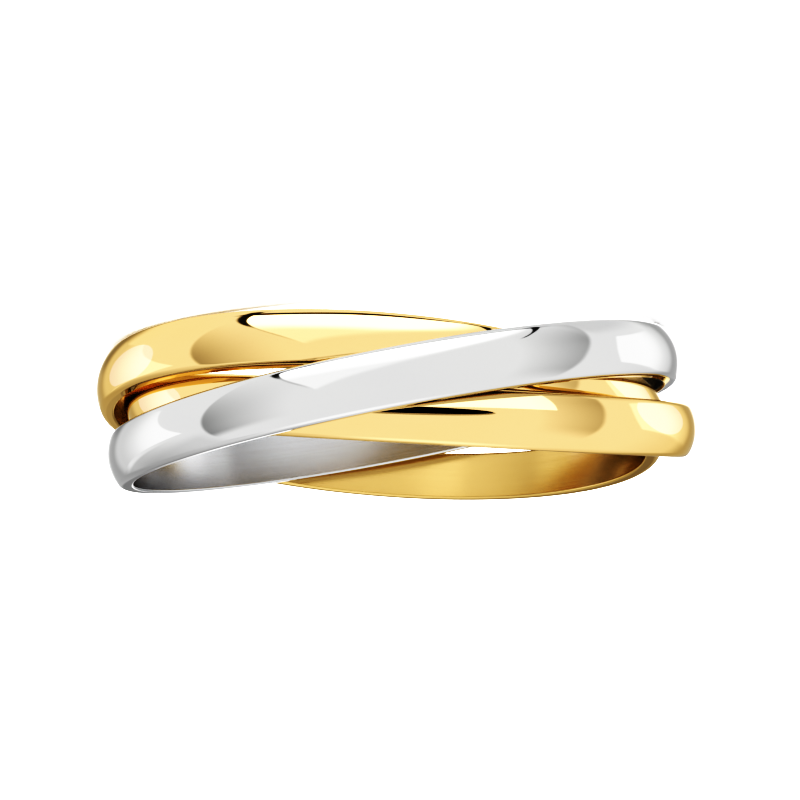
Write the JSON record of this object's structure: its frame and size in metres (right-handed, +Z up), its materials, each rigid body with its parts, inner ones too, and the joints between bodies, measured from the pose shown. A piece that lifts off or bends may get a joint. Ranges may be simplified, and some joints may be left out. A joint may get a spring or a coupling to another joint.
{
  "type": "rolling ring",
  "caption": "Slim finger ring of equal polished round bands in white and yellow metal, linked through one another so that they roll over each other.",
  "frame": {"origin": "middle of the ring's outline, seen from above, on the surface that it rests on", "axes": "+Z up out of that surface, the way a finger goes through; -Y towards the side that is looked at; +X to the right of that view, near the white band's high side"},
  "size_m": [0.021, 0.0208, 0.0048],
  "materials": {
    "white_gold": "mirror polish",
    "yellow_gold": "mirror polish"
  },
  "bodies": {
    "white": {"white_band": "white_gold"},
    "gold_rear": {"gold_band_rear": "yellow_gold"},
    "gold_front": {"gold_band_front": "yellow_gold"}
  },
  "joints": [
    {"name": "gold_rear_spin", "type": "hinge", "parent": "white", "child": "gold_rear", "pos_m": [0.00051, 0.00047, 0.00242], "axis": [0.1125, -0.1087, 0.9877], "continuous": true},
    {"name": "gold_front_spin", "type": "hinge", "parent": "white", "child": "gold_front", "pos_m": [-0.00049, 0.0004, 0.00242], "axis": [0.0897, 0.1281, 0.9877], "continuous": true}
  ]
}
